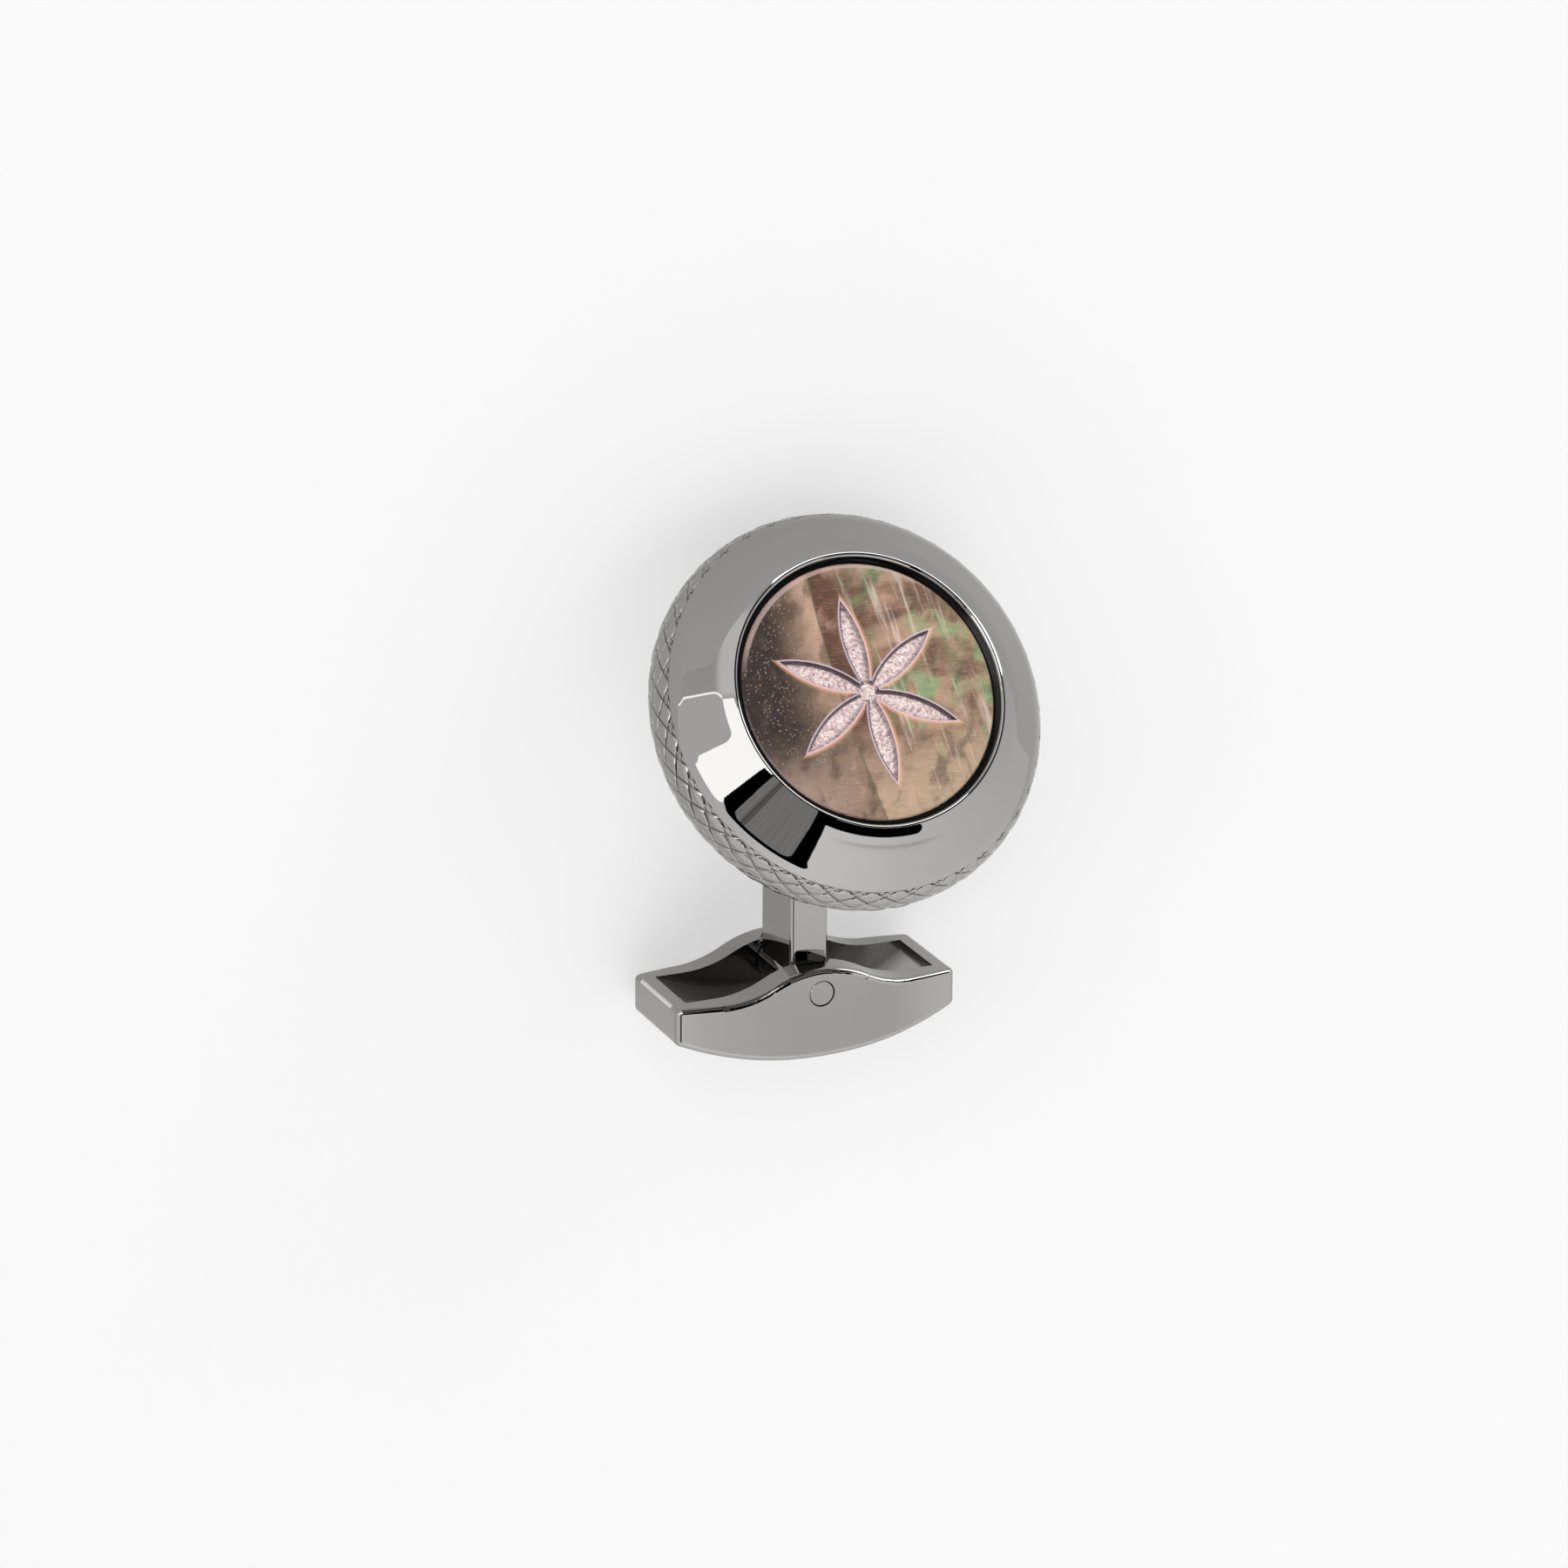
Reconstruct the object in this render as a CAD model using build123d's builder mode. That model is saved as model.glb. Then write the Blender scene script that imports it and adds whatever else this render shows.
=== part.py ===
"""Swivel-bar cufflink with a round inlaid head, lying on its back.

It is drawn about the middle of its cross pin, with X along the swivel bar, Y from the bar to the head
and Z along the pin. At the end it is laid down, so that the bar and the head both touch the surface.
Lengths are millimetres.
"""
from build123d import *
import math
import os

# Head: heights are measured along its own axis, forwards from its widest circle.
head_diameter = 18.0
face_angle = 34.4
head_rise = 14.07
head_stand_off = 5.38
side_radius = 2.33
bezel_edge_height = 1.49
lip_height = 3.15
lip_width = 0.28
lip_break = 0.08
case_wall = 1.9
flange_thickness = 0.6

# Knurled band
lozenge_count = 42
lozenge_height = 0.95
lozenge_depth = 0.11
knurl_bed_depth = 0.16
knurl_root_depth = 0.3
knurl_front_margin = 0.15
knurl_back_margin = 1.0

# Inlay and the black ring that it sits in
shell_diameter = 11.64
shell_height = 2.87
shell_thickness = 1.0
shell_edge_break = 0.06
seat_wall = 0.26
seat_floor = 0.35
seat_rim_drop = 0.12
seat_ledge = 0.9
inlay_gap = 0.02

# Engraved rosette
rosette_radius = 4.2
petal_count = 6
petal_arc_radius = 4.9
rosette_eye_radius = 0.5
engraving_depth = 0.16
engraving_turn = 4.5

# Back cap, bent arm and post
cap_diameter = 12.0
cap_thickness = 0.8
cap_gap = 0.02
cap_ledge = 0.5
post_depth = 3.4
post_width = 1.85
post_round = 0.22
arm_bend_radius = 2.5
eye_diameter = 2.2

# Swivel bar, measured from the plane of its four rim corners
bar_length = 13.7
bar_end_width = 5.1
bar_middle_width = 6.2
bar_flat_length = 3.0
bar_end_height = 1.7
bar_depth = 3.12
hump_height = 1.17
hump_length = 9.4
end_wall = 0.75
channel_clearance = 0.08
channel_end_depth = 0.55
bar_floor = 0.6
bar_corner_round = 0.35
bar_bottom_round = 0.3
rim_round = 0.25
notch_inner_width = 1.9
notch_outer_width = 0.7
notch_depth = 0.22
notch_reach = 0.9

# Cross pin, whose middle is level with the rim corners
pin_diameter = 1.2
pin_seat_gap = 0.02
pin_running_gap = 0.04
pin_recess = 0.02
pin_end_break = 0.05

os.makedirs("parts", exist_ok=True)

tilt = math.radians(face_angle)
head_radius = head_diameter / 2
side_centre = head_radius - side_radius
pivot = Vector(0, 0, 0)

# Axes of the head, and the plane that its turned profile is drawn in
head_centre = Vector(0, head_rise, head_stand_off)
head_axis = Vector(0, math.sin(tilt), math.cos(tilt))
head_plane = Plane(head_centre, x_dir=(1, 0, 0), z_dir=head_axis)
profile_plane = Plane(head_centre, x_dir=(1, 0, 0), z_dir=(0, -math.cos(tilt), math.sin(tilt)))
turning_axis = Axis(head_centre, head_axis)

# Levels and radii inside the head
shell_radius = shell_diameter / 2
seat_inner_radius = shell_radius + inlay_gap
seat_outer_radius = seat_inner_radius + seat_wall
bore_radius = seat_outer_radius + inlay_gap
shell_bottom = shell_height - shell_thickness
seat_top = shell_height - seat_rim_drop
seat_bottom = shell_bottom - inlay_gap - seat_floor
ledge_top = seat_bottom - inlay_gap
lip_radius = bore_radius + lip_width
bezel_edge_radius = side_centre + math.sqrt(side_radius ** 2 - bezel_edge_height ** 2)
back_z = -side_radius
cap_radius = cap_diameter / 2
cap_bore_radius = cap_radius + cap_gap
cap_front = back_z + cap_thickness
cavity_radius = head_radius - case_wall
cap_ledge_radius = cap_bore_radius - cap_ledge
ledge_radius = bore_radius - seat_ledge
flange_bottom = ledge_top - flange_thickness

# Knurled band: places on it are given by the length along the side's round, forwards of the widest circle.
half_lozenge = lozenge_height / 2
bezel_run = side_radius * math.asin(bezel_edge_height / side_radius)
back_run = side_radius * math.pi / 2
rows_front = int((bezel_run - knurl_front_margin) / half_lozenge)
rows_back = int((back_run - knurl_back_margin) / half_lozenge)
knurl_front = rows_front * half_lozenge
knurl_back = -rows_back * half_lozenge
knurl_columns = 2 * lozenge_count


def band_point(run, sink=0.0):
    """Radius and height of the side's round at a run along it, sunk below its surface."""
    turn = run / side_radius
    reach = side_radius - sink
    return (side_centre + reach * math.cos(turn), reach * math.sin(turn))


def knurl_ring(radius, height):
    """One ring of points about the head's axis at the same radius and height."""
    turns = [column * math.pi / lozenge_count for column in range(knurl_columns)]
    return [(radius * math.cos(turn), radius * math.sin(turn), height) for turn in turns]


def knurl_row(row):
    """Grooves cross at every other column, and the lozenges' crests stand between the crossings."""
    run = row * half_lozenge
    grooves = knurl_ring(*band_point(run, lozenge_depth))
    crests = grooves if row in (-rows_back, rows_front) else knurl_ring(*band_point(run))
    return [(crests if (row + column) % 2 else grooves)[column] for column in range(knurl_columns)]


def knurl_solid():
    """A drum of pillowed lozenges whose ends dive under the plain metal beside the band."""
    front_end = knurl_ring(*band_point(knurl_front + knurl_bed_depth, knurl_root_depth))
    back_end = knurl_ring(*band_point(knurl_back - knurl_bed_depth, knurl_root_depth))
    rings = [back_end] + [knurl_row(row) for row in range(-rows_back, rows_front + 1)] + [front_end]
    first_row = -rows_back - 1
    faces = [Face(Wire.make_polygon(front_end)), Face(Wire.make_polygon(back_end[::-1]))]
    for level in range(len(rings) - 1):
        low = rings[level]
        high = rings[level + 1]
        for column in range(knurl_columns):
            beside = (column + 1) % knurl_columns
            corners = [low[column], low[beside], high[beside], high[column]]
            if (first_row + level + column) % 2:
                corners = corners[1:] + corners[:1]
            faces.append(Face(Wire.make_polygon([corners[0], corners[1], corners[2]])))
            faces.append(Face(Wire.make_polygon([corners[0], corners[2], corners[3]])))
    return Solid(Shell(faces))


knurl = knurl_solid().moved(head_plane.location)

with BuildPart() as case_ring:
    # Outside of the head, with a sunk bed that the knurled band stands in
    with BuildSketch(profile_plane):
        with BuildLine():
            Polyline((0, back_z), (0, lip_height), (lip_radius, lip_height),
                     (bezel_edge_radius, bezel_edge_height))
            RadiusArc((bezel_edge_radius, bezel_edge_height), band_point(knurl_front), side_radius)
            Line(band_point(knurl_front), band_point(knurl_front, knurl_bed_depth))
            RadiusArc(band_point(knurl_front, knurl_bed_depth), band_point(knurl_back, knurl_bed_depth),
                      side_radius - knurl_bed_depth)
            Line(band_point(knurl_back, knurl_bed_depth), band_point(knurl_back))
            RadiusArc(band_point(knurl_back), (side_centre, back_z), side_radius)
            Line((side_centre, back_z), (0, back_z))
        make_face()
    revolve(axis=turning_axis)
    add(knurl)
    # Inside: the bore and ledge for the inlay, the cavity, and the seat of the back cap
    with BuildSketch(profile_plane):
        with BuildLine():
            Polyline((0, lip_height), (bore_radius + lip_break, lip_height),
                     (bore_radius, lip_height - lip_break), (bore_radius, ledge_top),
                     (ledge_radius, ledge_top), (ledge_radius, flange_bottom),
                     (cavity_radius, flange_bottom - cap_ledge), (cavity_radius, cap_front + cap_ledge * 2),
                     (cap_ledge_radius, cap_front + cap_ledge), (cap_ledge_radius, cap_front + cap_gap),
                     (cap_bore_radius, cap_front + cap_gap), (cap_bore_radius, back_z), (0, back_z),
                     (0, lip_height))
        make_face()
    revolve(axis=turning_axis, mode=Mode.SUBTRACT)

with BuildPart() as inlay_seat:
    with BuildSketch(head_plane.offset(seat_bottom)):
        Circle(seat_outer_radius)
    extrude(amount=seat_top - seat_bottom)
    with BuildSketch(head_plane.offset(seat_bottom + seat_floor)):
        Circle(seat_inner_radius)
    extrude(amount=shell_thickness, mode=Mode.SUBTRACT)

# Each petal lies between two like arcs, from the centre to the tip.
with BuildSketch() as petal:
    with BuildLine():
        RadiusArc((0, 0), (rosette_radius, 0), petal_arc_radius)
        RadiusArc((0, 0), (rosette_radius, 0), -petal_arc_radius)
    make_face()

with BuildSketch() as rosette:
    Circle(rosette_eye_radius)
    with PolarLocations(0, petal_count, start_angle=360 / petal_count / 2 + engraving_turn):
        add(petal.sketch)

with BuildPart() as shell_disc:
    with BuildSketch(head_plane.offset(shell_bottom)):
        Circle(shell_radius)
    extrude(amount=shell_thickness)
    chamfer(shell_disc.edges().group_by(turning_axis)[-1], shell_edge_break)
    with BuildSketch(head_plane.offset(shell_height)):
        add(rosette.sketch)
    extrude(amount=-engraving_depth, mode=Mode.SUBTRACT)

# The arm leaves the cap's centre along the head's axis and bends into the straight post.
arm_start = head_centre + head_axis * (back_z + cap_thickness / 2)
arm_run = arm_start.Z / math.cos(tilt)
bend_corner = arm_start - head_axis * arm_run
arm_bend = min(arm_bend_radius, (arm_run - cap_thickness / 2) * math.tan(math.radians(45 + face_angle / 2)))

with BuildPart() as back_post:
    with BuildSketch(head_plane.offset(back_z)):
        Circle(cap_radius)
    extrude(amount=cap_thickness)
    with BuildLine() as arm_path:
        FilletPolyline(arm_start, bend_corner, pivot, radius=arm_bend)
    with BuildSketch(Plane(arm_start, x_dir=(1, 0, 0), z_dir=-head_axis)):
        RectangleRounded(post_width, post_depth, post_round)
    sweep(path=arm_path.line)
    with BuildSketch(Plane(pivot).offset(-post_depth / 2)):
        Circle(eye_diameter / 2)
    extrude(amount=post_depth)
    with BuildSketch(Plane(pivot).offset(-post_depth / 2)):
        Circle(pin_diameter / 2 + pin_running_gap)
    extrude(amount=post_depth, mode=Mode.SUBTRACT)

# Swivel bar: outlines are drawn about the middle of its rim plane.
half_length = bar_length / 2
half_hump = hump_length / 2
channel_half_length = half_length - end_wall
channel_width = post_depth + 2 * channel_clearance
channel_top = hump_height + rim_round
notch_side = channel_width / 2 + notch_reach
bar_plane = Plane(pivot)
plan_plane = Plane((0, -bar_depth, 0), x_dir=(1, 0, 0), z_dir=(0, 1, 0))

with BuildPart() as toggle_bar:
    with BuildSketch(bar_plane.offset(-bar_middle_width / 2)):
        with BuildLine():
            Polyline((-half_hump, 0), (-half_length, 0), (-half_length, -bar_end_height))
            ThreePointArc((-half_length, -bar_end_height), (0, -bar_depth), (half_length, -bar_end_height))
            Polyline((half_length, -bar_end_height), (half_length, 0), (half_hump, 0))
            TangentArc((half_hump, 0), (half_hump / 2, hump_height / 2), tangent=(-1, 0))
            ThreePointArc((half_hump / 2, hump_height / 2), (0, hump_height),
                          (-half_hump / 2, hump_height / 2))
            TangentArc((-half_hump, 0), (-half_hump / 2, hump_height / 2), tangent=(1, 0))
        make_face()
    extrude(amount=bar_middle_width)
    with BuildSketch(plan_plane):
        with BuildLine():
            Line((-bar_flat_length / 2, bar_middle_width / 2), (bar_flat_length / 2, bar_middle_width / 2))
            TangentArc((bar_flat_length / 2, bar_middle_width / 2), (half_length, bar_end_width / 2),
                       tangent=(1, 0))
            Line((half_length, bar_end_width / 2), (half_length, -bar_end_width / 2))
            TangentArc((bar_flat_length / 2, -bar_middle_width / 2), (half_length, -bar_end_width / 2),
                       tangent=(1, 0))
            Line((bar_flat_length / 2, -bar_middle_width / 2), (-bar_flat_length / 2, -bar_middle_width / 2))
            TangentArc((-bar_flat_length / 2, -bar_middle_width / 2), (-half_length, -bar_end_width / 2),
                       tangent=(-1, 0))
            Line((-half_length, -bar_end_width / 2), (-half_length, bar_end_width / 2))
            TangentArc((-bar_flat_length / 2, bar_middle_width / 2), (-half_length, bar_end_width / 2),
                       tangent=(-1, 0))
        make_face()
        fillet(vertices().group_by(Axis.X)[0] + vertices().group_by(Axis.X)[-1], bar_corner_round)
    extrude(amount=bar_depth + hump_height, mode=Mode.INTERSECT)
    across = toggle_bar.edges().filter_by(Axis.Z).filter_by(lambda e: abs(e.center().X) < half_length - rim_round)
    outline = toggle_bar.edges() - across
    fillet(outline.filter_by(lambda e: e.center().Y < -bar_end_height), bar_bottom_round)
    outline = toggle_bar.edges() - across
    fillet(outline.filter_by(lambda e: e.center().Y > -rim_round / 2), rim_round)
    # The channel that the post turns in
    with BuildSketch(bar_plane.offset(-channel_width / 2)):
        with BuildLine():
            Line((-channel_half_length, channel_top), (-channel_half_length, -channel_end_depth))
            ThreePointArc((-channel_half_length, -channel_end_depth), (0, bar_floor - bar_depth),
                          (channel_half_length, -channel_end_depth))
            Polyline((channel_half_length, -channel_end_depth), (channel_half_length, channel_top),
                     (-channel_half_length, channel_top))
        make_face()
    extrude(amount=channel_width, mode=Mode.SUBTRACT)
    # The notches beside the post narrow from the channel outwards.
    with BuildSketch(plan_plane.offset(bar_depth + hump_height - notch_depth)):
        Polygon((-notch_outer_width / 2, notch_side), (-notch_inner_width / 2, channel_width / 2),
                (-notch_inner_width / 2, 0), (notch_inner_width / 2, 0),
                (notch_inner_width / 2, channel_width / 2), (notch_outer_width / 2, notch_side), align=None)
        mirror(about=Plane.XZ)
    extrude(amount=notch_depth + rim_round, mode=Mode.SUBTRACT)
    with BuildSketch(Plane(pivot).offset(-bar_middle_width / 2)):
        Circle(pin_diameter / 2 + pin_seat_gap)
    extrude(amount=bar_middle_width, mode=Mode.SUBTRACT)

with BuildPart() as pivot_pin:
    with BuildSketch(Plane(pivot).offset(pin_recess - bar_middle_width / 2)):
        Circle(pin_diameter / 2)
    extrude(amount=bar_middle_width - 2 * pin_recess)
    chamfer(pivot_pin.edges().filter_by(GeomType.CIRCLE), pin_end_break)

# Laid down about X: the head's round side and the rounded rim over the bar's side rest on one plane.
reach_y = head_rise + side_centre * math.cos(tilt) - (hump_height - rim_round)
reach_z = head_stand_off - side_centre * math.sin(tilt) + bar_middle_width / 2 - rim_round
lean = math.atan2(reach_z, reach_y) - math.asin((side_radius - rim_round) / math.hypot(reach_y, reach_z))
turned = Location((0, 0, 0), (-math.degrees(lean), 0, 0))

pieces = {"case_ring": case_ring.part, "inlay_seat": inlay_seat.part, "shell_disc": shell_disc.part,
          "back_post": back_post.part, "toggle_bar": toggle_bar.part, "pivot_pin": pivot_pin.part}
leaning = {name: piece.moved(turned) for name, piece in pieces.items()}
box = Compound(list(leaning.values())).bounding_box()
down = Location((0, -box.center().Y, -box.min.Z))

for name, piece in leaning.items():
    laid = piece.moved(down)
    laid.label = name
    export_step(laid, f"parts/{name}.step")

print("lean", round(math.degrees(lean), 4), "pivot", -box.center().Y, -box.min.Z, "bend radius", arm_bend)
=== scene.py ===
"""Swivel-bar cufflink: polished gunmetal head with a knurled band, shell inlay, post and bar."""
import math

import bpy
from mathutils import Matrix, Vector


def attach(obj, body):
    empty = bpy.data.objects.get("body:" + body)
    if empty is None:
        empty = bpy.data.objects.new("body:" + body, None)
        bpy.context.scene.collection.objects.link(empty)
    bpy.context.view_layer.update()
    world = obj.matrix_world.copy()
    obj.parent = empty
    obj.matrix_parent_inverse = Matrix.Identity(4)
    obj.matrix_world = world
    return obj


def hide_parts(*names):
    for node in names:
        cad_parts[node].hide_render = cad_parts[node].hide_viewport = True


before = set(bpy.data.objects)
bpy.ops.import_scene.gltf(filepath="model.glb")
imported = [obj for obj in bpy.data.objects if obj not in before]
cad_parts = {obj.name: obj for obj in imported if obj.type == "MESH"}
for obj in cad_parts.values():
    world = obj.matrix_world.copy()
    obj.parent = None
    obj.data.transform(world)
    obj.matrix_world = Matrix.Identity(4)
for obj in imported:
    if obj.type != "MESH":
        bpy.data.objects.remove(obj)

bl_info = {
    "name": "Swivel-bar cufflink",
    "version": (1, 0, 0),
    "blender": (4, 5, 0),
    "location": "3D View > Sidebar > Cufflink",
    "description": "Models a cufflink's round head, its post and its swivel bar",
    "category": "Object",
}

MM = 0.001
WELD = 0.001 * MM
RADIAN = 180 / math.pi
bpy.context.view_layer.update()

# The part is laid down from a frame at the middle of its cross pin: X along the bar, Y from the bar
# to the head and Z along the pin. The head has a frame of its own with Z out of its face. Lengths
# are millimetres.
LEAN = math.radians(7.2258)
PIN_PLACE = Vector((0.0, -9.24987, 3.19308))
LAY = Matrix.Translation(PIN_PLACE * MM) @ Matrix.Rotation(-LEAN, 4, "X")
FACE_ANGLE = math.radians(34.4)
HEAD_PLACE = Vector((0.0, 14.07, 5.38))
HEAD = LAY @ Matrix.Translation(HEAD_PLACE * MM) @ Matrix.Rotation(-FACE_ANGLE, 4, "X")

# The head's round side and the knurled band on it, which is given by lengths along the round from
# the head's widest circle
HEAD_RADIUS = 9.0
SIDE_RADIUS = 2.33
SIDE_CENTRE = HEAD_RADIUS - SIDE_RADIUS
BED_DEPTH = 0.16
GROOVE_DEPTH = 0.11
LOZENGE_COUNT = 42
LOZENGE_HEIGHT = 0.95
BAND_BACK = -2.5 * LOZENGE_HEIGHT
BAND_ROWS = 4
BAND_FRONT = BAND_BACK + BAND_ROWS * LOZENGE_HEIGHT
BAND_LAP = 0.04
BAND_BEVEL = 0.3
BAND_SMOOTHING = 45.0

# Steps of a lozenge from its groove to its top: width and rise
LOZENGE_STEPS = ((0.022, 0.0), (0.045, 0.082), (0.10, 0.03), (0.13, 0.016))

# Stretches of the bezel from the bore outwards: length, and the surface's tilt from the face at
# both ends, in degrees. The bezel meets the round side at the height of its edge.
BEZEL = ((0.18, 18.0, 25.0), (0.78, 25.0, 38.0), (1.32, 38.0, 39.2), (0.50, 39.2, 50.2))
BEZEL_EDGE = 1.49
LIP_BREAK = 0.13
BORE_RADIUS = 6.12
BORE_FOOT = 1.4
CAP_SEAT_RADIUS = 6.02
CAP_SEAT_TOP = -1.5
CASE_SEGMENTS = 4 * LOZENGE_COUNT

# The swivel bar's channel, about the middle of the pin. Its floor is an arc.
CHANNEL_HALF_LENGTH = 6.1
CHANNEL_HALF_WIDTH = 1.8
CHANNEL_DEPTH = 2.52
CHANNEL_END_DEPTH = 0.55

# The shell disc: the height of its face on the head, its seam, which bends away from the top of the
# disc, and the rosette engraved in it
SHELL_HEIGHT = 2.87
SEAM_SHIFT = 1.6
SEAM_TOP = 5.6
SEAM_BEND = 0.0082
ENGRAVING_TURN = math.radians(34.5)
LIT_TURN = math.radians(30.0)
PETALS = 6
PETAL_LENGTH = 4.2
PETAL_ARC = 4.9
ROSETTE_EYE = 0.5
ROSETTE_REACH = 4.6

# Painted light in the plating: a lighter metal colour on the channel's rough floor stands in for
# its bright reflected patches, and a near-black colour in the knurling's grooves is painted shade
CHANNEL_PAINTED_LIGHT = (0.8, 0.79, 0.77)
CHANNEL_ROUGHNESS = 0.65
GROOVE_PAINTED_SHADE = (0.01, 0.01, 0.01)

# The photograph's view of the part, about the middle of the pin
VIEW_TURN = math.radians(23.81)
VIEW_RISE = math.radians(19.02)
VIEW_ROLL = math.radians(0.32)
VIEW_DISTANCE = 250.0
VIEW_SHIFT = (-0.467, 8.484)
VIEW_LENS = 126.5
VIEW_SENSOR = 36.0
VIEW_CLIP = 0.01

# The studio round the part: the light by the share of a turn about the head's axis, the middles of
# the cards as turns in degrees, and their light
RING_LIGHT = ((0.0, 1.05), (0.45, 0.88), (0.49, 0.95), (0.53, 1.15), (0.6, 1.4), (0.66, 1.75),
              (0.70, 1.7), (0.75, 1.5), (0.80, 1.42), (0.88, 1.25), (0.95, 1.15), (1.0, 1.05))
SIDE_LIGHT = 1.3
SOFT_LIGHT = 0.6
BEZEL_TILT = 38.8
CARD_SQUASH = 0.28
DARK_TURN = 222.5
WHITE_TURN = 191.0
WHITE_LIGHT = 3.2
GREY_TURN = 181.3
GREY_LIGHT = 1.18
GREY_EDGE_LIGHT = 3.0
BLACK_TURN = 257.0
BLACK_SQUASH = 0.42
CEILING_LIGHT = 0.05
STRIP_PLACE = (60.0, 16.0)
STRIP_LIGHT = 6.0
FRONT_DIP = 0.24


class Wire:
    """A shader socket. Arithmetic on it adds Math nodes."""

    def __init__(self, paint, socket):
        self.paint = paint
        self.socket = socket

    def math(self, operation, *others):
        """A Math node of this value and the others."""
        inputs = dict(enumerate((self, *others)))
        return self.paint.node("Math", {"operation": operation}, inputs)

    def __add__(self, other):
        return self.math("ADD", other)

    def __sub__(self, other):
        return self.math("SUBTRACT", other)

    def __mul__(self, other):
        return self.math("MULTIPLY", other)

    def __truediv__(self, other):
        return self.math("DIVIDE", other)

    def __pow__(self, other):
        return self.math("POWER", other)

    def __radd__(self, other):
        return self.math("ADD", other)

    def __rmul__(self, other):
        return self.math("MULTIPLY", other)

    def __rsub__(self, other):
        return self.paint.node("Math", {"operation": "SUBTRACT"}, {0: other, 1: self})

    def __abs__(self):
        return self.math("ABSOLUTE")

    def step(self, low, high):
        """0 below low, 1 above high and smooth between; falls instead if low is the larger."""
        inputs = {"Value": self, "From Min": min(low, high), "From Max": max(low, high)}
        if low > high:
            inputs.update({"To Min": 1.0, "To Max": 0.0})
        return self.paint.node("MapRange", {"interpolation_type": "SMOOTHSTEP"}, inputs)

    def toward(self, level, mask):
        """This value where a mask is 0, and the level where it is 1."""
        return self + (level - self) * mask


class Paint:
    """A node tree, of a material or of the world."""

    def __init__(self, owner):
        owner.use_nodes = True
        self.owner = owner
        self.tree = owner.node_tree

    def feed(self, socket, value):
        """Links a wire to a socket, or sets the socket to a number or a colour."""
        if isinstance(value, Wire):
            self.tree.links.new(value.socket, socket)
        elif socket.type == "RGBA" and len(value) == 3:
            socket.default_value = (*value, 1.0)
        else:
            socket.default_value = value

    def node(self, kind, settings=None, inputs=None, output=0):
        """Adds a node: settings are set first, then inputs take numbers, colours or wires."""
        made = self.tree.nodes.new("ShaderNode" + kind)
        for name, value in (settings or {}).items():
            if name == "stops":
                elements = made.color_ramp.elements
                while len(elements) < len(value):
                    elements.new(1.0)
                for element, (place, colour) in zip(elements, value):
                    element.position = place
                    element.color = (*colour, 1.0)
            else:
                setattr(made, name, value)
        for name, value in (inputs or {}).items():
            self.feed(made.inputs[name], value)
        return Wire(self, made.outputs[output])

    def noise(self, vector, scale=1.0, detail=2.0, roughness=0.5, distortion=0.0):
        """Cloudy noise over a vector."""
        return self.node("TexNoise", None, {"Vector": vector, "Scale": scale, "Detail": detail,
                                            "Roughness": roughness, "Distortion": distortion})

    def blend(self, mask, low, high):
        """A mix of two colours by a mask."""
        return self.node("Mix", {"data_type": "RGBA"}, {0: mask, 6: low, 7: high}, output=2)

    def coats(self, colour, *layers):
        """A colour with layers over it in order, each a mask and a colour."""
        for mask, coat in layers:
            colour = self.blend(mask, colour, coat)
        return colour

    def place(self, frame_matrix):
        """Object coordinates in millimetres of a frame of the part."""
        here, turn, _ = frame_matrix.decompose()
        inputs = {"Vector": self.node("TexCoord", output=3), "Location": here,
                  "Rotation": turn.to_euler(), "Scale": (MM, MM, MM)}
        return self.node("Mapping", {"vector_type": "TEXTURE"}, inputs)

    def split(self, vector):
        """The three parts of a vector."""
        made = self.tree.nodes.new("ShaderNodeSeparateXYZ")
        self.feed(made.inputs[0], vector)
        return [Wire(self, part) for part in made.outputs]

    def stretch(self, vector, scale, turn):
        """Coordinates turned about Z and then scaled, for a grain that runs one way."""
        turned = self.node("VectorRotate", {"rotation_type": "Z_AXIS"},
                           {"Vector": vector, "Angle": turn})
        return self.node("VectorMath", {"operation": "MULTIPLY"}, {0: turned, 1: scale})

    def shade(self, values):
        """Sets or links sockets of the material's own shader."""
        for name, value in values.items():
            self.feed(self.tree.nodes["Principled BSDF"].inputs[name], value)
        return self.owner


def view_axes():
    """Right, up and back of the photograph's view, in the part's frame at its pin."""
    back = Vector((-math.sin(VIEW_TURN) * math.cos(VIEW_RISE), math.sin(VIEW_RISE),
                   math.cos(VIEW_TURN) * math.cos(VIEW_RISE)))
    right = Vector((math.cos(VIEW_TURN), 0.0, math.sin(VIEW_TURN)))
    roll = Matrix.Rotation(VIEW_ROLL, 3, back)
    return roll @ right, roll @ back.cross(right), back


def new_paint(name):
    """The node tree of a new material."""
    return Paint(bpy.data.materials.new(name))


def tone(red, green, blue):
    """Linear colour of three display values out of 255."""
    return tuple((value / 255) ** 2.2 for value in (red, green, blue))


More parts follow.
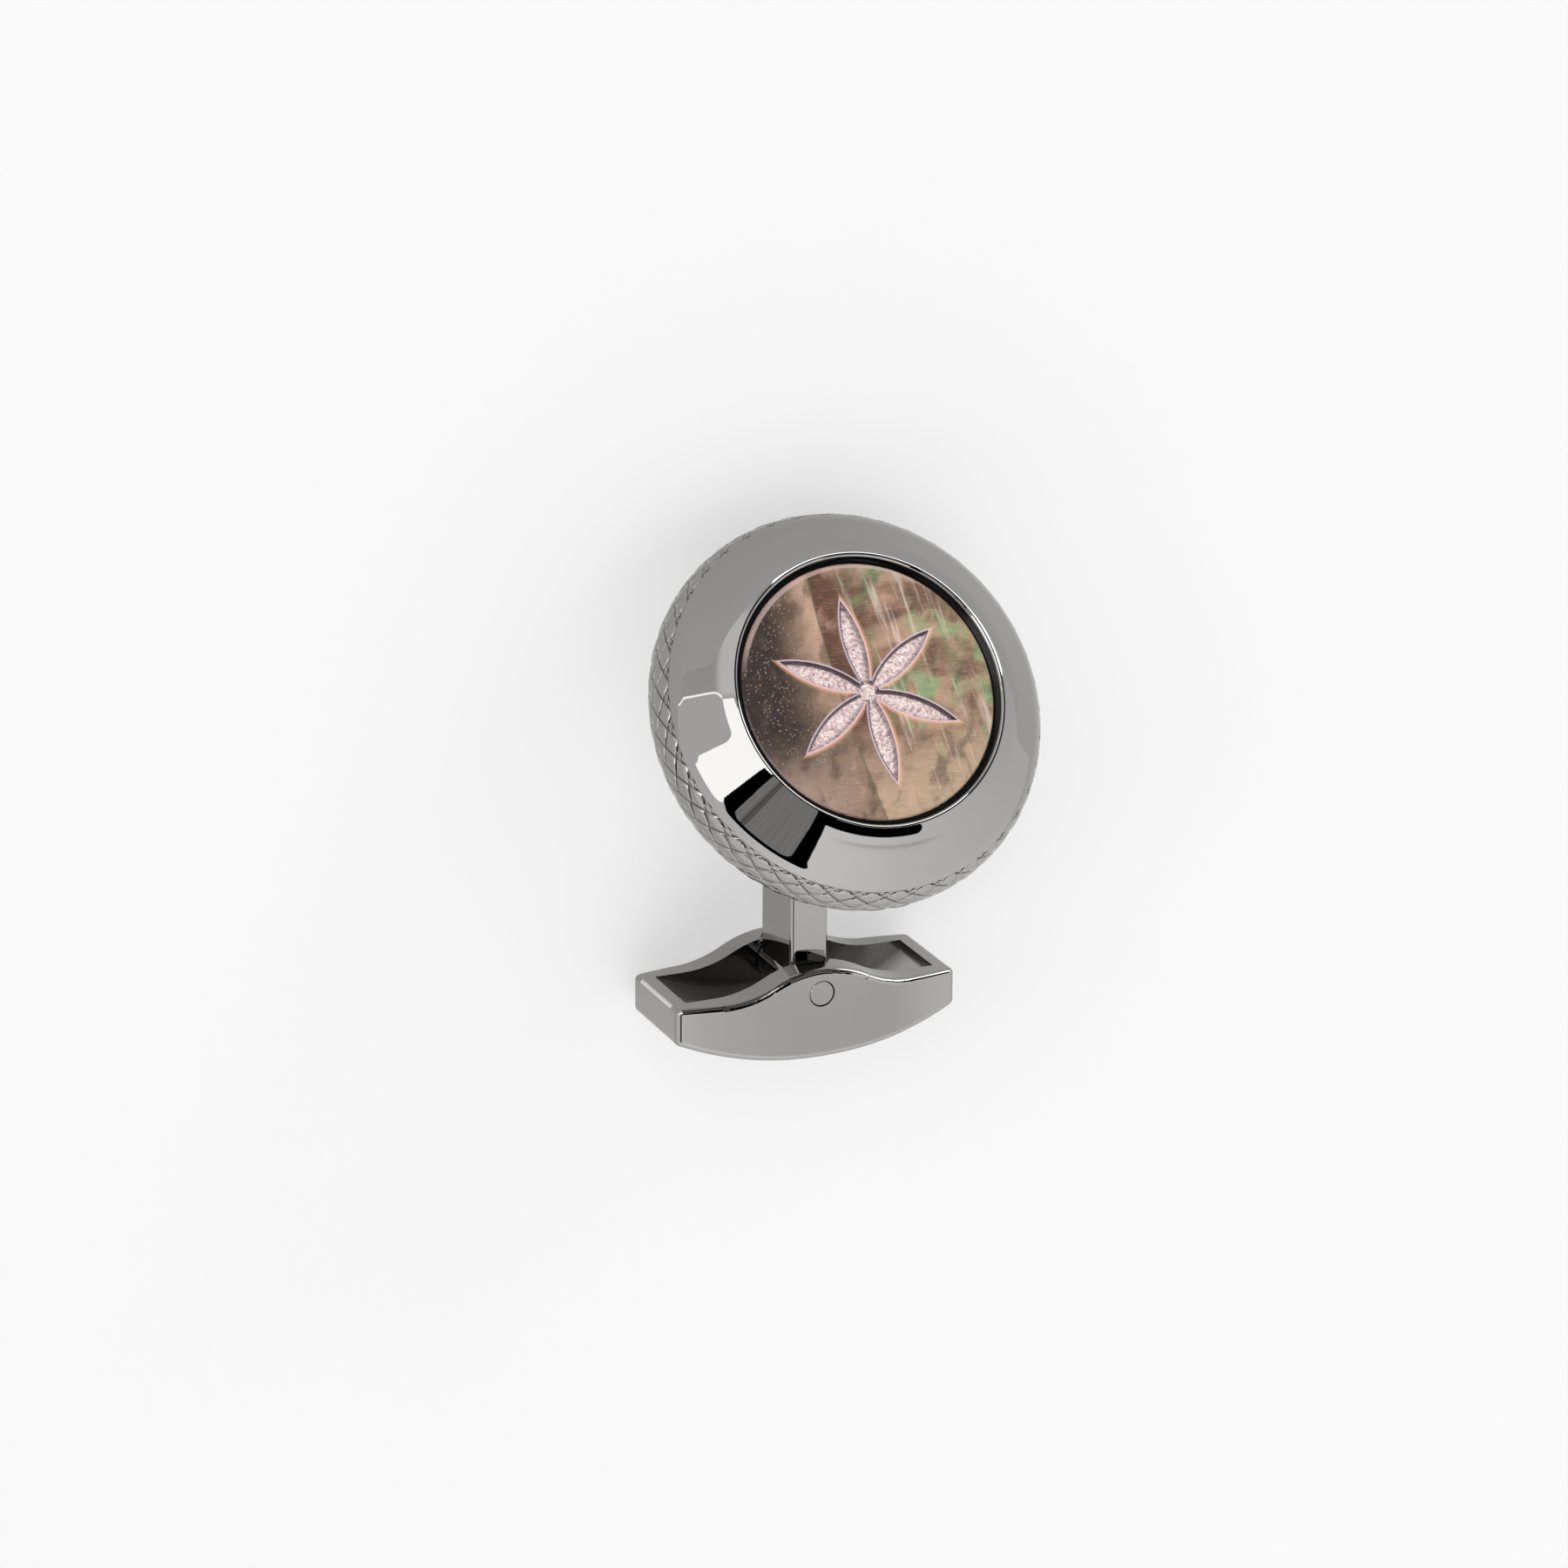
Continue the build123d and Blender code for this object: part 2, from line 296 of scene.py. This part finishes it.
def plating(name="plating"):
    """Polished dark plating with the faintest haze, wipe marks and orange peel.

    It is rougher on the channel's floor, which is also painted lighter to stand in for its bright
    reflected patches, and painted shade darkens the knurling's grooves."""
    if name in bpy.data.materials:
        return bpy.data.materials[name]
    shape = bpy.context.scene.cufflink_shape
    paint = new_paint(name)
    place = paint.place(HEAD)
    along, up, side = paint.split(paint.place(LAY))
    arch = CHANNEL_DEPTH - CHANNEL_END_DEPTH
    over_floor = up - (along / CHANNEL_HALF_LENGTH) ** 2.0 * arch + CHANNEL_DEPTH
    between_walls = abs(side).step(CHANNEL_HALF_WIDTH, CHANNEL_HALF_WIDTH - 0.05)
    channel = abs(over_floor).step(0.16, 0.06) * between_walls
    haze = paint.noise(place, 0.9, 3.0)
    wipes = paint.noise(paint.stretch(place, (0.6, 9.0, 9.0), 0.5))
    peel = paint.noise(place, 2.2)
    # Painted light: the channel's floor gets a lighter colour for the bright patches it mirrors
    colour = paint.blend(channel * 0.8, shape.metal_colour, CHANNEL_PAINTED_LIGHT)
    if name == "knurled_plating":
        across, along, out = paint.split(place)
        reach = (((across ** 2.0 + along ** 2.0) ** 0.5 - SIDE_CENTRE) ** 2.0 + out ** 2.0) ** 0.5
        groove = reach.step(SIDE_RADIUS - 0.06, SIDE_RADIUS - 0.10)
        # Painted shade: the knurling's grooves are darkened towards near-black
        colour = paint.blend(groove * 0.5, colour, GROOVE_PAINTED_SHADE)
    return paint.shade({
        "Base Color": colour,
        "Metallic": 1.0,
        "Roughness": (shape.metal_roughness + haze * 0.012 + wipes * 0.012
                      + channel * CHANNEL_ROUGHNESS),
        "Normal": paint.node("Bump", None, {"Strength": 0.02, "Distance": 0.02 * MM,
                                            "Height": peel}),
    })


def lining_material():
    """Glossy black lining, with a little dust in its gloss."""
    paint = new_paint("lining")
    dust = paint.noise(paint.place(HEAD), 14.0, 4.0)
    return paint.shade({
        "Base Color": paint.blend(dust.step(0.62, 0.75), (0.002, 0.002, 0.002),
                                  (0.012, 0.012, 0.012)),
        "Roughness": 0.12 + dust * 0.12,
    })


def nacre(paint, place, across, along):
    """Colours of the dark mother-of-pearl with a painted reflection at its edge, and its grain."""
    cloud = paint.noise(paint.stretch(place, (0.34, 0.8, 1.0), 0.1), detail=4.0, distortion=0.5)
    hue = paint.noise(paint.stretch(place, (0.8, 0.4, 1.0), 0.05), 1.0, 5.0, 0.6, 0.8)
    grain = paint.noise(paint.stretch(place, (1.6, 16.0, 1.0), 0.06), 1.0, 5.0, 0.7)
    streak = paint.noise(paint.stretch(place, (2.2, 0.16, 1.0), -0.1), 1.0, 4.0, 0.65)
    blotch = paint.noise(paint.stretch(place, (1.1, 0.7, 1.0), 0.5), 1.0, 5.0, 0.6, 0.25)

    # Left of the seam: dark, with a paler strip beside the seam and a paler foot
    seam = across + SEAM_SHIFT - ((SEAM_TOP - along) ** 2.0) * SEAM_BEND
    wobble = (cloud - 0.5) * 1.6
    side = seam + wobble
    foot = (along + wobble).step(-1.2, -4.6)
    strip = seam.step(-1.2, -0.15) * (along + wobble * 2).step(-1.0, 2.6)
    left = paint.coats(
        paint.blend(foot, tone(42, 33, 30), tone(156, 132, 118)),
        (side.step(-2.7, -0.4), tone(136, 112, 94)),
        (strip, tone(178, 146, 124)))

    # Right of the seam: brown, then rose and green clouds, and a paler foot
    cloudy = paint.coats(
        tone(164, 130, 108),
        (hue.step(0.44, 0.62), tone(132, 150, 108)),
        (cloud.step(0.54, 0.40) * 0.7, tone(112, 80, 64)))
    right = paint.coats(
        tone(94, 61, 47),
        ((seam + wobble * 1.5).step(0.8, 3.4), cloudy),
        ((along + wobble * 2).step(-1.0, -4.8), tone(176, 150, 126)))

    # What lies over both sides, and a painted reflection: a pale crescent at the disc's upper left
    # edge
    dark_blotch = blotch.step(0.52, 0.34) * 0.6
    pale_blotch = blotch.step(0.52, 0.70) * (0.08 + 0.34 * seam.step(-1.6, -0.4))
    seam_line = abs(seam).step(0.09, 0.01) * 0.6
    dark_grain = grain.step(0.50, 0.30) * 0.28
    pale_grain = grain.step(0.52, 0.72) * (0.08 + 0.22 * seam.step(-1.2, 0.0))
    pale_streak = streak.step(0.54, 0.72) * seam.step(0.4, 1.6) * 0.6
    dark_streak = streak.step(0.42, 0.26) * seam.step(0.6, 2.0) * 0.4
    dots = paint.node("TexVoronoi", None, {"Vector": place, "Scale": 6.5})
    speck = dots.step(0.30, 0.14) * hue.step(0.40, 0.52) * seam.step(-0.6, -1.6)
    # Painted reflection: a pale crescent along the disc's upper left edge
    far = ((across - 0.07) ** 2.0 + (along + 0.09) ** 2.0) ** 0.5
    painted_reflection = far.step(5.67, 5.73) * (along - across * 0.3).step(2.8, 4.4)
    colour = paint.coats(
        left,
        (seam.step(-0.05, 0.05), right),
        (dark_blotch, tone(66, 48, 40)),
        (pale_blotch, tone(196, 160, 140)),
        (seam_line, tone(92, 84, 52)),
        (dark_grain, tone(84, 62, 52)),
        (pale_grain, tone(206, 184, 164)),
        (pale_streak, tone(226, 208, 194)),
        (dark_streak, tone(108, 84, 70)),
        (speck * 0.5, tone(190, 168, 150)),
        (painted_reflection * 0.55, tone(196, 168, 160)))
    return colour, grain


def rosette(paint, place, across, along, out, colour):
    """A colour with the engraved rosette on it, a mask of the engraving, and its foil's crinkle."""
    # How far a place lies inside the edge of the nearest petal
    reach = (across ** 2.0 + along ** 2.0) ** 0.5
    turn = along.math("ARCTAN2", across) - ENGRAVING_TURN
    petal_turn = math.tau / PETALS
    fold = (turn + petal_turn / 2).math("FLOORED_MODULO", petal_turn) - petal_turn / 2
    along_petal = reach * fold.math("COSINE")
    across_petal = reach * fold.math("SINE")
    half = PETAL_LENGTH / 2
    offset = math.sqrt(PETAL_ARC ** 2 - half ** 2)
    from_arc = ((along_petal - half) ** 2.0 + (abs(across_petal) + offset) ** 2.0) ** 0.5
    inside = (PETAL_ARC - from_arc).math("MAXIMUM", ROSETTE_EYE - reach)
    sunk = out.step(SHELL_HEIGHT - 0.005, SHELL_HEIGHT - 0.015)
    sunk = sunk * reach.step(ROSETTE_REACH + 0.1, ROSETTE_REACH)

    # Around it a painted highlight, an orange glow on the side away from the light, and a pale
    # outline
    lit = (turn - fold + ENGRAVING_TURN - LIT_TURN).math("COSINE") * fold.math("SIGN")
    # Painted highlight: the orange glow follows the direction of the light
    glow = inside.step(-0.26, -0.02) * lit.step(0.1, -0.5) * 0.75
    outline = inside.step(-0.10, -0.03) * 0.7
    colour = paint.coats(colour, (glow, tone(232, 168, 128)), (outline, tone(206, 188, 204)))

    # Crinkled foil in it, with a dark serrated line along the side towards the light: a dark edge
    # all round, and painted shade that makes it darker on the shaded wall
    crinkle = paint.noise(place, 3.2, 6.0, 0.72, 1.4)
    glint = paint.node("TexVoronoi", {"feature": "DISTANCE_TO_EDGE"},
                       {"Vector": paint.stretch(place, (1.0, 1.5, 1.0), 0.4), "Scale": 4.5})
    chatter = along_petal * 3.6 + crinkle * 2.4 + abs(across_petal) * 2.0
    chatter = chatter.math("PINGPONG", 0.5)
    teeth = (along_petal * 7.0).math("PINGPONG", 0.5)
    # Partly a dark edge all round and partly painted shade, stronger on the side towards the light
    line = (inside - teeth * 0.07).step(0.15, 0.09) * (0.35 + 0.65 * lit.step(-0.3, 0.3))
    ridge = chatter.step(0.34, 0.46) * 0.5
    cut = chatter.step(0.12, 0.02) * 0.35
    # Painted glints: near-white sparks on the crests of the foil's crinkle
    painted_glint = glint.step(0.06, 0.01) * crinkle.step(0.46, 0.58)
    pit = crinkle.step(0.42, 0.34) * 0.6
    foil = paint.coats(
        tone(166, 138, 142),
        (crinkle.step(0.34, 0.66), tone(226, 204, 200)),
        (ridge, tone(246, 230, 222)),
        (cut, tone(140, 112, 118)),
        (painted_glint, tone(255, 248, 242)),
        (pit, tone(124, 96, 108)),
        (line * 0.85, tone(72, 58, 70)))
    return paint.blend(sunk, colour, foil), sunk, crinkle


def shell_material():
    """Dark mother-of-pearl with a seam, grain, clouds and specks, and foil in its rosette."""
    paint = new_paint("shell")
    place = paint.place(HEAD)
    across, along, out = paint.split(place)
    colour, grain = nacre(paint, place, across, along)
    colour, sunk, crinkle = rosette(paint, place, across, along, out, colour)
    relief = crinkle * sunk + grain * (1.0 - sunk) * 0.1
    return paint.shade({
        "Base Color": colour,
        "Metallic": sunk * 0.35,
        "Roughness": 0.34 - sunk * 0.06,
        "Coat Weight": 1.0 - sunk,
        "Normal": paint.node("Bump", None, {"Strength": sunk * 0.9 + 0.02, "Distance": 0.06 * MM,
                                            "Height": relief}),
    })


def dress(node, material):
    """Gives a CAD node one material all over."""
    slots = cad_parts[node].material_slots
    if not slots:
        raise RuntimeError(node + " has no material slot")
    for slot in slots:
        slot.material = material


def side_point(run, sink=0.0):
    """Radius and height on the head's round side, at a run along it and sunk below it."""
    turn = run / SIDE_RADIUS
    reach = SIDE_RADIUS - sink
    return SIDE_CENTRE + reach * math.cos(turn), reach * math.sin(turn)


def side_points(start, end, steps, sink=0.0):
    """Points along the head's round side from one run to another."""
    return [side_point(start + (end - start) * step / steps, sink) for step in range(steps + 1)]


def arc(centre, radius, start, end, steps=6):
    """Points of an arc in a profile between two angles in degrees, from outwards to upwards."""
    turns = [math.radians(start + (end - start) * step / steps) for step in range(steps + 1)]
    return [(centre[0] + radius * math.cos(turn), centre[1] + radius * math.sin(turn))
            for turn in turns]


def edge_run():
    """Where the bezel meets the round side, as a run along it."""
    return SIDE_RADIUS * math.asin(BEZEL_EDGE / SIDE_RADIUS)


def bezel_points(steps=8):
    """The bore's edge, the lip and the bezel, worked out from the side inwards, given outwards."""
    points = [side_point(edge_run())]
    for length, inner, outer in reversed(BEZEL):
        for step in range(steps):
            tilt = math.radians(outer + (inner - outer) * (step + 0.5) / steps)
            radius, height = points[-1]
            points.append((radius - math.cos(tilt) * length / steps,
                           height + math.sin(tilt) * length / steps))
    radius, height = points.pop()
    start = BEZEL[0][1]
    centre = (radius - LIP_BREAK * math.sin(math.radians(start)),
              height - LIP_BREAK * math.cos(math.radians(start)))
    points += arc(centre, LIP_BREAK, 90 - start, 180)
    points.append((points[-1][0], BORE_FOOT))
    return points[::-1]


def start_point(name):
    """A new object with one selected vertex at its origin, left in edit mode."""
    bpy.ops.object.select_all(action="DESELECT")
    bpy.ops.mesh.primitive_plane_add(size=MM, location=(0, 0, 0))
    made = bpy.context.active_object
    made.name = name
    bpy.ops.object.mode_set(mode="EDIT")
    bpy.ops.mesh.select_all(action="SELECT")
    bpy.ops.mesh.merge(type="CENTER")
    return made


def turn_profile(profile, steps):
    """Extrudes the one vertex along a closed profile of radii and heights, and spins it about Z."""
    move = Vector((profile[0][0], 0.0, profile[0][1])) * MM
    bpy.ops.transform.translate(value=move)
    for start, end in zip(profile, profile[1:] + profile[:1]):
        move = Vector((end[0] - start[0], 0.0, end[1] - start[1])) * MM
        bpy.ops.mesh.extrude_region_move(TRANSFORM_OT_translate={"value": move})
    bpy.ops.mesh.select_all(action="SELECT")
    bpy.ops.mesh.remove_doubles(threshold=WELD)
    bpy.ops.mesh.spin(steps=steps, angle=math.tau, center=(0, 0, 0), axis=(0, 0, 1),
                      use_auto_merge=True)
    bpy.ops.mesh.select_all(action="SELECT")
    bpy.ops.mesh.remove_doubles(threshold=WELD)
    bpy.ops.mesh.normals_make_consistent(inside=False)
    bpy.ops.object.mode_set(mode="OBJECT")


def settle(made, place, material, body, smooth_angle=30.0):
    """Puts a finished piece in its place, shades it and hands it to a body."""
    made.matrix_world = place
    bpy.ops.object.transform_apply(location=True, rotation=True, scale=True)
    bpy.ops.object.shade_smooth_by_angle(angle=math.radians(smooth_angle))
    made.data.materials.clear()
    made.data.materials.append(material)
    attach(made, body)


def card(across, along, centre, half_size, corner):
    """How far a place lies outside a rounded rectangle, in degrees, and less than 0 inside it."""
    beside = abs(across - centre[0]) - (half_size[0] - corner)
    beyond = abs(along - centre[1]) - (half_size[1] - corner)
    outside = (beside.math("MAXIMUM", 0.0) ** 2.0 + beyond.math("MAXIMUM", 0.0) ** 2.0) ** 0.5
    inside = beside.math("MAXIMUM", beyond).math("MINIMUM", 0.0)
    return outside + inside - corner


def studio_world():
    """A white studio. Its cards are placed by the surface that mirrors them to the camera.

    A place in it is the tilt of that surface from the head's face and its turn about the head's
    axis, both in degrees."""
    paint = Paint(bpy.data.worlds.new("studio"))
    _, _, back = view_axes()
    view = LAY.to_3x3() @ back
    ray = paint.node("TexCoord", output=0)
    total = paint.node("VectorMath", {"operation": "ADD"}, {0: ray, 1: view})
    normal = paint.node("VectorMath", {"operation": "NORMALIZE"}, {0: total})
    across, along, out = (
        paint.node("VectorMath", {"operation": "DOT_PRODUCT"}, {0: normal, 1: axis}, 1)
        for axis in HEAD.to_3x3().transposed())
    tilt = out.math("ARCCOSINE") * RADIAN
    turn = (along.math("ARCTAN2", across) * RADIAN + 360.0).math("MODULO", 360.0)

    # The light round the part, halved in the ramp, whose colours end at 1. Steep sides see an even
    # light.
    stops = [(place, (level / 2,) * 3) for place, level in RING_LIGHT]
    ring = paint.node("ValToRGB", {"stops": stops}, {"Fac": turn / 360.0})
    ring = paint.node("RGBToBW", None, {"Color": ring}) * 2.0
    light = ring.toward(SIDE_LIGHT, tilt.step(52.0, 64.0))

    # Softer light above the left of the bezel
    soft = SOFT_LIGHT * tilt.step(38.0, 31.0) * turn.step(128.0, 145.0) * turn.step(176.0, 172.0)
    light = light + soft

    # White box beside a grey card with one bright edge. Across a card, turns are counted as on the
    # bezel's cone. Tilts are counted less, so that the cards' corners come out round.
    bend = math.sin(math.radians(BEZEL_TILT))
    sweep = (turn - DARK_TURN) * bend
    rise = tilt * CARD_SQUASH
    flare = tilt.step(39.5, 46.0) * 1.1 + tilt.step(22.5, 20.0) * 2.5
    white_place = ((WHITE_TURN - DARK_TURN) * bend, 7.9)
    white = card(sweep - flare, rise, white_place, (16.0 * bend, 5.3), 3.4)
    light = light.toward(WHITE_LIGHT, white.step(0.1, -0.1))
    grey_place = ((GREY_TURN - DARK_TURN) * bend + flare, 12.4)
    grey = card(sweep, rise, grey_place, (9.4 * bend, 3.4), 2.2)
    light = light.toward(GREY_LIGHT, grey.step(0.08, -0.08))
    edge = (GREY_EDGE_LIGHT - light) * abs(grey).step(0.30, 0.15) * turn.step(174.8, 173.8)
    light = light + edge

    # Dark card with a black edge and streaks, and a black bar beside it
    black = card((turn - BLACK_TURN) * BLACK_SQUASH, rise, (0.0, 6.45), (9.4, 1.75), 1.4)
    light = light * (1.0 - black.step(0.1, -0.1))
    dark = card(sweep - flare, rise, (0.0, 8.2), (16.6 * bend, 4.95), 2.0)
    light = light * dark.step(-0.08, 0.08)
    inner = card(sweep, rise, (0.0, 7.9), (11.6 * bend, 4.35), 2.2)
    streaks = paint.node("TexNoise", {"noise_dimensions": "1D"},
                         {"W": turn * 0.6, "Detail": 6.0, "Roughness": 0.7})
    fold = turn.step(217.3, 215.6) * turn.step(213.4, 215.2) * 0.28
    light = light + (0.3 + streaks.step(0.3, 0.7) * 0.42 - fold) * inner.step(0.05, -0.05)

    # Dark ceiling that the flat inlay mirrors, and a strip light in it
    light = light * (CEILING_LIGHT + (1.0 - CEILING_LIGHT) * tilt.step(13.0, 16.4))
    strip = card(turn, tilt, STRIP_PLACE, (60.0, 6.0), 3.0)
    light = light.toward(STRIP_LIGHT, strip.step(1.0, -1.0))

    # Less of the light for the bar's near wall than for the post's front
    front = turn.step(240.0, 254.0) * turn.step(290.0, 276.0)
    light = light * (1.0 - FRONT_DIP * front * tilt.step(34.6, 35.8) * tilt.step(38.8, 36.6))
    shade = paint.tree.nodes["Background"].inputs
    paint.feed(shade["Color"], paint.node("CombineColor", None, {0: light, 1: light, 2: light}))
    return paint.owner


class CufflinkShape(bpy.types.PropertyGroup):
    """Values of the plating and the floor, which the panel shows"""
    metal_colour: bpy.props.FloatVectorProperty(
        name="Metal", description="Reflected colour of the plating",
        default=(0.29, 0.286, 0.279), subtype="COLOR")
    metal_roughness: bpy.props.FloatProperty(
        name="Metal roughness", description="Least roughness of the plating",
        default=0.008, min=0.0, max=1.0, subtype="FACTOR")
    floor_size: bpy.props.FloatProperty(
        name="Floor size", description="Side of the pale floor", default=1.2, unit="LENGTH")
    floor_colour: bpy.props.FloatVectorProperty(
        name="Floor colour", description="Colour of the pale floor",
        default=(0.42, 0.42, 0.42), subtype="COLOR")
    floor_glow: bpy.props.FloatProperty(
        name="Floor glow", description="Light from under the floor's translucent top",
        default=0.45)


class CUFFLINK_OT_case_ring(bpy.types.Operator):
    """Turn the head's bezel, lip and round side with the bed of the knurled band"""
    bl_idname = "cufflink.case_ring"
    bl_label = "Case ring"

    def execute(self, context):
        front = BAND_FRONT - BAND_LAP
        back = BAND_BACK + BAND_LAP
        profile = bezel_points()
        profile += side_points(edge_run(), front, 4)
        profile += side_points(front - BAND_BEVEL, back + BAND_BEVEL, 10, BED_DEPTH)
        profile += side_points(back, -SIDE_RADIUS * math.pi / 2, 6)
        profile += [(CAP_SEAT_RADIUS, -SIDE_RADIUS), (CAP_SEAT_RADIUS, CAP_SEAT_TOP),
                    (BORE_RADIUS, BORE_FOOT)]
        made = start_point("turned_case")
        turn_profile(profile, CASE_SEGMENTS)
        settle(made, HEAD, plating(), "link")
        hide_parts("case_ring")
        return {"FINISHED"}


class CUFFLINK_OT_knurled_band(bpy.types.Operator):
    """Raise the knurled band's lozenges on the head's round side"""
    bl_idname = "cufflink.knurled_band"
    bl_label = "Knurled band"

    def execute(self, context):
        # A grid on the round side, at the depth of the grooves
        bpy.ops.object.select_all(action="DESELECT")
        radius, height = side_point(BAND_BACK, GROOVE_DEPTH)
        bpy.ops.mesh.primitive_circle_add(vertices=LOZENGE_COUNT, radius=radius * MM,
                                          location=(0, 0, 0))
        made = context.active_object
        made.name = "knurled_band"
        bpy.ops.object.mode_set(mode="EDIT")
        bpy.ops.mesh.select_all(action="SELECT")
        bpy.ops.transform.translate(value=(0, 0, height * MM))
        for row in range(1, BAND_ROWS + 1):
            before = side_point(BAND_BACK + (row - 1) * LOZENGE_HEIGHT, GROOVE_DEPTH)
            radius, height = side_point(BAND_BACK + row * LOZENGE_HEIGHT, GROOVE_DEPTH)
            move = {"value": (0, 0, (height - before[1]) * MM)}
            bpy.ops.mesh.extrude_region_move(TRANSFORM_OT_translate=move)
            bpy.ops.transform.resize(value=(radius / before[0], radius / before[0], 1),
                                     center_override=(0, 0, height * MM))
        bpy.ops.object.mode_set(mode="OBJECT")
        grid = len(made.data.vertices)

        # A point in the middle of each of its faces, moved out to the round side
        bpy.ops.object.mode_set(mode="EDIT")
        bpy.ops.mesh.select_all(action="SELECT")
        bpy.ops.mesh.poke(offset=0.0)
        bpy.ops.object.mode_set(mode="OBJECT")
        for vertex in made.data.vertices:
            if vertex.index >= grid:
                flat = Vector((vertex.co.x, vertex.co.y, 0.0))
                run = SIDE_RADIUS * math.atan2(vertex.co.z / MM, flat.length / MM - SIDE_CENTRE)
                reach = side_point(run, GROOVE_DEPTH)
                vertex.co = flat.normalized() * reach[0] * MM + Vector((0, 0, reach[1] * MM))

        # The grid's own edges inside the band go, which leaves lozenges between the points
        bpy.ops.object.mode_set(mode="EDIT")
        bpy.ops.mesh.select_mode(type="EDGE")
        bpy.ops.mesh.select_all(action="DESELECT")
        bpy.ops.object.mode_set(mode="OBJECT")
        faces_at = {}
        for face in made.data.polygons:
            for key in face.edge_keys:
                faces_at[key] = faces_at.get(key, 0) + 1
        for edge in made.data.edges:
            edge.select = max(edge.vertices) < grid and faces_at[edge.key] == 2
        bpy.ops.object.mode_set(mode="EDIT")
        bpy.ops.mesh.dissolve_edges(use_verts=False, use_face_split=False)
        bpy.ops.mesh.select_all(action="SELECT")
        bpy.ops.mesh.normals_make_consistent(inside=False)
        for width, rise in LOZENGE_STEPS:
            bpy.ops.mesh.inset(thickness=width * MM, depth=rise * MM, use_individual=True,
                               use_boundary=True)
        bpy.ops.object.mode_set(mode="OBJECT")
        if len(made.data.polygons) < 3 * LOZENGE_COUNT * BAND_ROWS:
            raise RuntimeError("the band's lozenges weren't cut")
        settle(made, HEAD, plating("knurled_plating"), "link", BAND_SMOOTHING)
        return {"FINISHED"}


class CUFFLINK_OT_plating(bpy.types.Operator):
    """Plate the post, the swivel bar and its pin"""
    bl_idname = "cufflink.plating"
    bl_label = "Plating"

    def execute(self, context):
        for node in ("back_post", "toggle_bar", "pivot_pin"):
            dress(node, plating())
        return {"FINISHED"}


class CUFFLINK_OT_inlay(bpy.types.Operator):
    """Colour the shell disc with its engraving and the black lining under it"""
    bl_idname = "cufflink.inlay"
    bl_label = "Inlay"

    def execute(self, context):
        dress("inlay_seat", lining_material())
        dress("shell_disc", shell_material())
        return {"FINISHED"}


class CUFFLINK_OT_stage(bpy.types.Operator):
    """Lay the floor, and set the studio and the camera"""
    bl_idname = "cufflink.stage"
    bl_label = "Stage"

    def execute(self, context):
        shape = context.scene.cufflink_shape
        bpy.ops.object.select_all(action="DESELECT")
        bpy.ops.mesh.primitive_plane_add(size=shape.floor_size, location=(0, 0, 0))
        floor = context.active_object
        floor.name = "floor"
        bpy.ops.object.transform_apply()
        paint = new_paint("floor paper")
        paint.shade({"Base Color": shape.floor_colour, "Roughness": 0.9, "Specular IOR Level": 0.1,
                     "Emission Color": (1.0, 1.0, 1.0), "Emission Strength": shape.floor_glow})
        floor.data.materials.append(paint.owner)

        context.scene.world = studio_world()
        right, up, back = view_axes()
        here = back * VIEW_DISTANCE + right * VIEW_SHIFT[0] + up * VIEW_SHIFT[1]
        turn = Matrix((right, up, back)).transposed().to_4x4()
        bpy.ops.object.camera_add()
        camera = context.active_object
        camera.data.sensor_width = VIEW_SENSOR
        camera.data.lens = VIEW_LENS
        camera.data.clip_start = VIEW_CLIP
        camera.matrix_world = LAY @ Matrix.Translation(here * MM) @ turn
        context.scene.camera = camera
        context.scene.view_settings.view_transform = "Standard"
        return {"FINISHED"}


class CUFFLINK_PT_pieces(bpy.types.Panel):
    """Lists the pieces of the cufflink and their values"""
    bl_idname = "CUFFLINK_PT_pieces"
    bl_label = "Swivel-bar cufflink"
    bl_space_type = "VIEW_3D"
    bl_region_type = "UI"
    bl_category = "Cufflink"

    def draw(self, context):
        shape = context.scene.cufflink_shape
        for item in OPERATORS:
            self.layout.operator(item.bl_idname)
        for name in CufflinkShape.__annotations__:
            self.layout.prop(shape, name)


OPERATORS = (CUFFLINK_OT_case_ring, CUFFLINK_OT_knurled_band, CUFFLINK_OT_plating,
             CUFFLINK_OT_inlay, CUFFLINK_OT_stage)
CLASSES = (CufflinkShape, *OPERATORS, CUFFLINK_PT_pieces)


def register():
    for item in CLASSES:
        bpy.utils.register_class(item)
    bpy.types.Scene.cufflink_shape = bpy.props.PointerProperty(type=CufflinkShape)


def unregister():
    del bpy.types.Scene.cufflink_shape
    for item in reversed(CLASSES):
        bpy.utils.unregister_class(item)


def main():
    register()
    bpy.ops.cufflink.case_ring()
    bpy.ops.cufflink.knurled_band()
    bpy.ops.cufflink.plating()
    bpy.ops.cufflink.inlay()
    bpy.ops.cufflink.stage()


if __name__ == "__main__":
    main()
